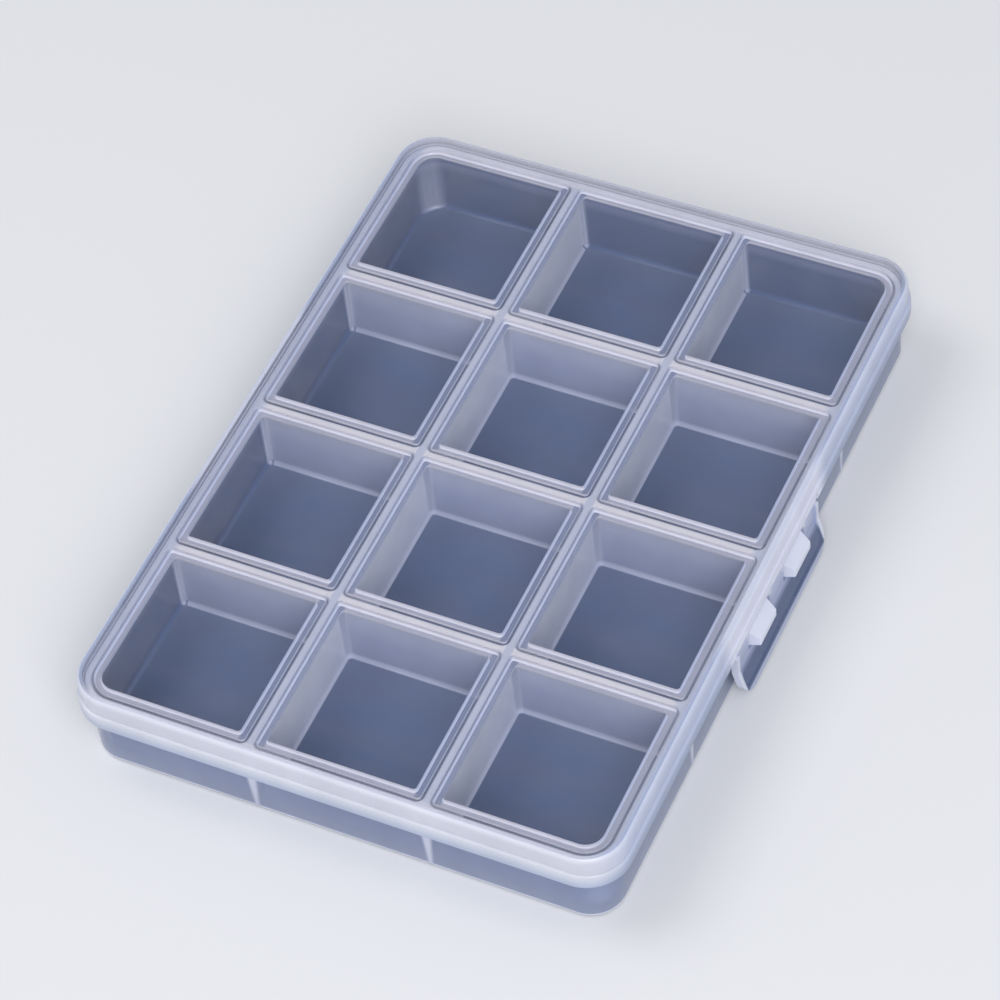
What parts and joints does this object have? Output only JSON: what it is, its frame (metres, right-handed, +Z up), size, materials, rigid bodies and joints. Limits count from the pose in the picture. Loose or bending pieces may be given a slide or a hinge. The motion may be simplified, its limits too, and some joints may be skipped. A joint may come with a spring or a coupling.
{
  "type": "compartment bead organizer box",
  "caption": "Flat rectangular translucent plastic box with a grid of open compartments under one hinged, ribbed lid that a snap latch flap holds shut.",
  "frame": {"origin": "middle of the tray's underside, on the surface that the box lies on", "axes": "+X from the lid hinge to the latch, +Y along the long side, +Z up through the lid"},
  "size_m": [0.1038, 0.1392, 0.018],
  "materials": {
    "natural_polypropylene": "translucent natural polypropylene, injection moulded, semi-gloss"
  },
  "bodies": {
    "tray": {"tray": "natural_polypropylene"},
    "lid": {"lid": "natural_polypropylene"},
    "latch_flap": {"latch_flap": "natural_polypropylene"}
  },
  "joints": [
    {"name": "lid_hinge", "type": "hinge", "parent": "tray", "child": "lid", "pos_m": [-0.05025, 0, 0.012], "axis": [0, -1, 0], "range_deg": [0, 180]},
    {"name": "latch_hinge", "type": "hinge", "parent": "lid", "child": "latch_flap", "pos_m": [0.04945, 0, 0.012], "axis": [0, -1, 0], "range_deg": [0, 110]}
  ]
}
